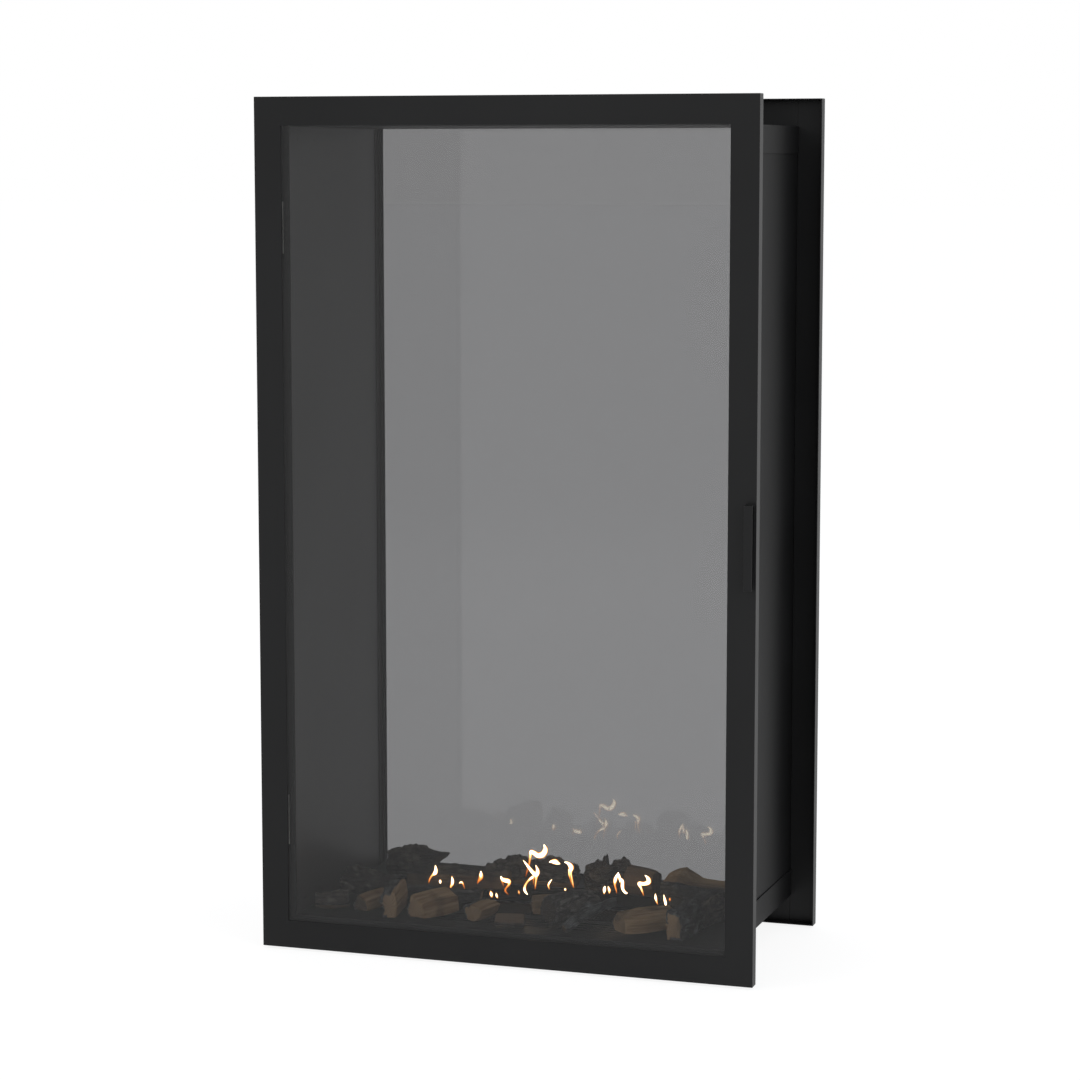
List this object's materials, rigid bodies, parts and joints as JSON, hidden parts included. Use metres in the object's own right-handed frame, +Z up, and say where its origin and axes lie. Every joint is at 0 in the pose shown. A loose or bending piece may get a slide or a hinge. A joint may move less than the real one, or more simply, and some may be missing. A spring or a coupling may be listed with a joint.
{
  "type": "bioethanol fireplace insert",
  "caption": "Tall see-through bioethanol fireplace insert: framed glass door, sheet steel casing, rear glass, slotted burner with sliding shutter and a pile of split logs.",
  "frame": {"origin": "on the ground, in the middle of the width and depth", "axes": "+X to the right seen from the room, +Y from the door to the far side, +Z up"},
  "size_m": [0.6, 0.321, 1.003],
  "materials": {
    "black_coated_steel": "satin black powder coat",
    "light_smoked_glass": "polished, lightly grey tinted",
    "dark_smoked_glass": "polished, darkly grey tinted",
    "black_rubber": "matt",
    "zinc_plated_steel": "zinc plated",
    "burner_steel": "heat darkened stainless steel",
    "ceramic_wool": "matt fibrous",
    "ceramic_log": "split wood and bark, partly charred"
  },
  "bodies": {
    "casing": {"side_panel_left": "black_coated_steel", "side_panel_right": "black_coated_steel", "top_tray": "black_coated_steel", "base_tray": "black_coated_steel", "front_flange": "black_coated_steel", "rear_frame_left": "black_coated_steel", "rear_frame_right": "black_coated_steel", "rear_frame_top": "black_coated_steel", "rear_frame_bottom": "black_coated_steel", "rear_glass": "dark_smoked_glass", "rear_glass_gaskets": "black_rubber", "rear_setting_blocks": "black_rubber", "rear_glazing_strips": "black_coated_steel", "levelling_feet": "zinc_plated_steel", "foot_nuts": "zinc_plated_steel", "burner_tank": "burner_steel", "burner_plate": "burner_steel", "burner_wool": "ceramic_wool", "burner_screws": "burner_steel", "shutter_guides": "burner_steel", "casing_rivets": "black_coated_steel", "catch_magnets": "black_coated_steel", "flange_screws": "zinc_plated_steel", "hinge_frame_leaf_lower": "zinc_plated_steel", "hinge_frame_leaf_upper": "zinc_plated_steel", "hinge_pins": "zinc_plated_steel", "log_back_left": "ceramic_log", "log_back_long": "ceramic_log", "log_back_middle": "ceramic_log", "log_back_bark": "ceramic_log", "log_back_right": "ceramic_log", "log_left_dark": "ceramic_log", "log_left_rear": "ceramic_log", "log_stub_left": "ceramic_log", "log_end_left": "ceramic_log", "log_cross_left": "ceramic_log", "log_wedge_left": "ceramic_log", "log_stub_middle": "ceramic_log", "log_front_middle": "ceramic_log", "log_wedge_middle": "ceramic_log", "log_big_bark": "ceramic_log", "log_branch": "ceramic_log", "log_wedge_right": "ceramic_log", "log_end_right": "ceramic_log", "log_right_dark": "ceramic_log"},
    "door": {"door_frame": "black_coated_steel", "door_glass": "light_smoked_glass", "door_glass_gasket": "black_rubber", "glass_retainer_left": "black_coated_steel", "glass_retainer_right": "black_coated_steel", "glass_retainer_top": "black_coated_steel", "glass_retainer_bottom": "black_coated_steel", "glass_standoffs": "zinc_plated_steel", "retainer_screws": "zinc_plated_steel", "door_handle": "black_coated_steel", "handle_screws": "zinc_plated_steel", "strike_plates": "zinc_plated_steel", "hinge_door_leaf_lower": "zinc_plated_steel", "hinge_door_leaf_upper": "zinc_plated_steel"},
    "shutter": {"burner_shutter": "burner_steel"}
  },
  "joints": [
    {"name": "door_hinge", "type": "hinge", "parent": "casing", "child": "door", "pos_m": [-0.2966, -0.1309, 0.503], "axis": [0, 0, -1], "range_deg": [0, 105]},
    {"name": "shutter_slide", "type": "slide", "parent": "casing", "child": "shutter", "axis": [0, -1, 0], "range_m": [0, 0.03]}
  ]
}
